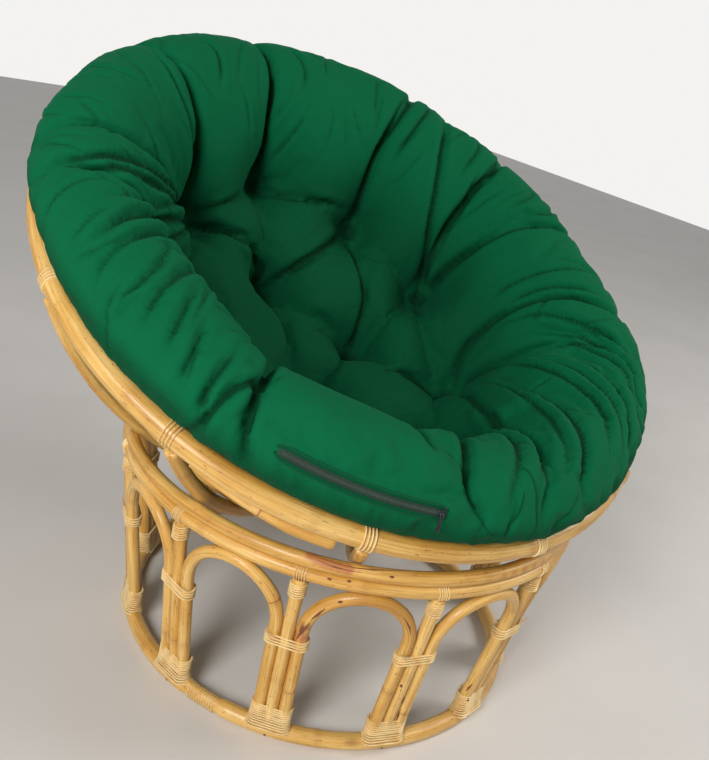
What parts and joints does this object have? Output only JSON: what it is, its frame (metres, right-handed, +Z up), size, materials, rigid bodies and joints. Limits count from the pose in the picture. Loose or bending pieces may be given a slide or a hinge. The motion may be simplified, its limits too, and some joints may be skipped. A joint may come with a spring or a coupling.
{
  "type": "papasan chair",
  "caption": "Round tufted cushion in a shallow tilted rattan bowl, which rests loose on a ring of arched poles.",
  "frame": {"origin": "on the floor under the middle of the whole chair's bounding box", "axes": "+Z up; the bowl's low side, the front, faces -Y; +X to the sitter's left"},
  "size_m": [1.0124, 0.948, 0.8699],
  "materials": {
    "rattan": "varnished",
    "cane": "satin",
    "cotton": "soft woven cotton",
    "zip_tape": "woven tape",
    "zip_metal": "dark metal"
  },
  "bodies": {
    "base": {"foot_hoop": "rattan", "lower_top_hoop": "rattan", "upper_top_hoop": "rattan", "splice_binding": "cane", "arch_01": "rattan", "arch_02": "rattan", "arch_03": "rattan", "arch_04": "rattan", "arch_05": "rattan", "arch_06": "rattan", "arch_07": "rattan", "arch_08": "rattan", "arch_09": "rattan", "arch_10": "rattan", "arch_11": "rattan", "arch_12": "rattan", "post_01": "rattan", "post_02": "rattan", "post_03": "rattan", "post_04": "rattan", "post_05": "rattan", "post_06": "rattan", "post_07": "rattan", "post_08": "rattan", "post_09": "rattan", "post_10": "rattan", "post_11": "rattan", "post_12": "rattan", "foot_binding_01": "cane", "foot_binding_02": "cane", "foot_binding_03": "cane", "foot_binding_04": "cane", "foot_binding_05": "cane", "foot_binding_06": "cane", "foot_binding_07": "cane", "foot_binding_08": "cane", "foot_binding_09": "cane", "foot_binding_10": "cane", "foot_binding_11": "cane", "foot_binding_12": "cane"},
    "bowl": {"bowl_rim": "rattan", "bowl_rim_lap": "rattan", "bowl_inner_hoop": "rattan", "bowl_mid_hoop": "rattan", "bowl_ribs": "rattan", "rim_binding_01": "cane", "rim_binding_02": "cane", "rim_binding_03": "cane", "rim_binding_04": "cane", "rim_binding_05": "cane", "rim_binding_06": "cane", "rim_binding_07": "cane", "rim_binding_08": "cane", "rim_binding_09": "cane", "rim_binding_10": "cane", "rim_binding_11": "cane", "rim_binding_12": "cane"},
    "cushion": {"cushion": "cotton", "zip_tape": "zip_tape"},
    "zip_slider": {"zip_slider": "zip_metal"}
  },
  "joints": [
    {"name": "bowl_tilt", "type": "hinge", "parent": "base", "child": "bowl", "pos_m": [0, -0.06557, 0.74601], "axis": [1, 0, 0], "range_deg": [-25, 2]},
    {"name": "cushion_lift", "type": "slide", "parent": "bowl", "child": "cushion", "axis": [0, -0.4226, 0.9063], "range_m": [0, 0.4]},
    {"name": "zip_slide", "type": "hinge", "parent": "cushion", "child": "zip_slider", "pos_m": [0, -0.06557, 0.74601], "axis": [0, -0.4226, 0.9063], "range_deg": [-22.4, 0]}
  ]
}
